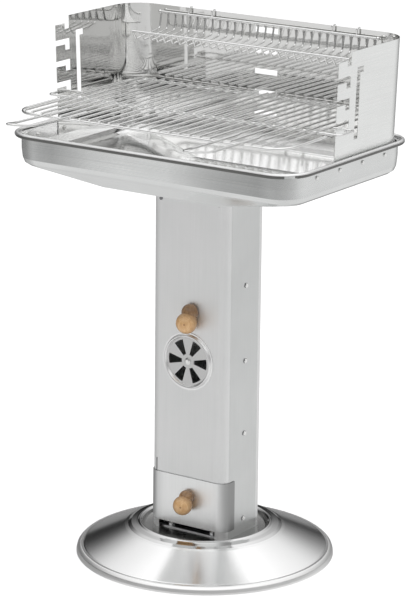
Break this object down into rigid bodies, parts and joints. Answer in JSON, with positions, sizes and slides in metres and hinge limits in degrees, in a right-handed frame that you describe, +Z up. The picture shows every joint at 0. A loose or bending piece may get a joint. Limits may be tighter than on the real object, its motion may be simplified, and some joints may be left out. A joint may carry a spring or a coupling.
{
  "type": "pedestal charcoal grill",
  "caption": "Free-standing stainless pedestal charcoal grill: round dish base, square column with vent, flap and ash drawer, fire tray, wrap-round windshield, grate and warming rack.",
  "frame": {"origin": "on the floor at the centre of the round base", "axes": "+Z up, +X to the right of a person standing at the front, front (drawer, vent, grate handles) faces -Y"},
  "size_m": [0.5752, 0.5504, 0.9017],
  "materials": {
    "polished_base": "mirror polished stainless steel, spun",
    "satin_steel": "fine satin stainless sheet",
    "tray_steel": "satin outside, brighter inside",
    "shield_steel": "bright-rolled stainless sheet",
    "vent_steel": "pressed bright stainless",
    "zinc_plate": "zinc-plated sheet",
    "zinc_fixings": "zinc-plated",
    "steel_screws": "stainless",
    "spring_steel": "phosphated",
    "chrome_rod": "polished",
    "chrome_wire": "bright chrome plating",
    "steel_wire": "plain steel wire",
    "knob_wood": "lacquered beech, darker at the foot"
  },
  "bodies": {
    "stand": {"base_dish": "polished_base", "foot_bracket": "zinc_plate", "foot_bolts": "zinc_fixings", "foot_side_screws": "steel_screws", "column_front_shell": "satin_steel", "column_rear_shell": "satin_steel", "column_side_screws": "steel_screws", "column_top_screws": "steel_screws", "drawer_runner_left": "zinc_plate", "drawer_runner_right": "zinc_plate", "column_collar": "zinc_plate", "collar_bolts": "zinc_fixings", "tray": "tray_steel", "windshield": "shield_steel", "tray_wall_screws": "steel_screws", "vent_rivet": "steel_screws", "vent_washer": "zinc_fixings", "flap_bush_front": "zinc_fixings", "flap_bush_rear": "zinc_fixings"},
    "vent": {"vent_disc": "vent_steel"},
    "flap": {"flap_rod": "chrome_rod", "flap_plate": "zinc_plate", "flap_screws": "zinc_fixings", "flap_clip": "spring_steel", "flap_knob": "knob_wood"},
    "drawer": {"drawer_front_cover": "satin_steel", "ash_pan": "zinc_plate", "drawer_knob": "knob_wood", "drawer_knob_stud": "chrome_rod"},
    "grate": {"cooking_grate": "chrome_wire", "grate_handle_left": "chrome_wire", "grate_handle_right": "chrome_wire", "grate_lug_left": "chrome_wire", "grate_lug_right": "chrome_wire", "grate_tongue": "chrome_wire"},
    "rack": {"warming_rack": "chrome_wire"},
    "coal_grate": {"charcoal_grate": "steel_wire"}
  },
  "joints": [
    {"name": "vent_turn", "type": "hinge", "parent": "stand", "child": "vent", "pos_m": [0, -0.0562, 0.35], "axis": [0, -1, 0], "range_deg": [0, 30]},
    {"name": "flap_turn", "type": "hinge", "parent": "stand", "child": "flap", "pos_m": [0.007, 0, 0.4372], "axis": [0, 1, 0], "range_deg": [0, 90]},
    {"name": "drawer_slide", "type": "slide", "parent": "stand", "child": "drawer", "axis": [0, -1, 0], "range_m": [0, 0.1]},
    {"name": "grate_tilt", "type": "hinge", "parent": "stand", "child": "grate", "pos_m": [0.0016, 0.1715, 0.7698], "axis": [-1, 0, 0], "range_deg": [0, 3]},
    {"name": "rack_lift", "type": "slide", "parent": "stand", "child": "rack", "axis": [0, 0, 1], "range_m": [0, 0.12]},
    {"name": "charcoal_grate_lift", "type": "slide", "parent": "stand", "child": "coal_grate", "axis": [0, 0, 1], "range_m": [0, 0.09]}
  ]
}
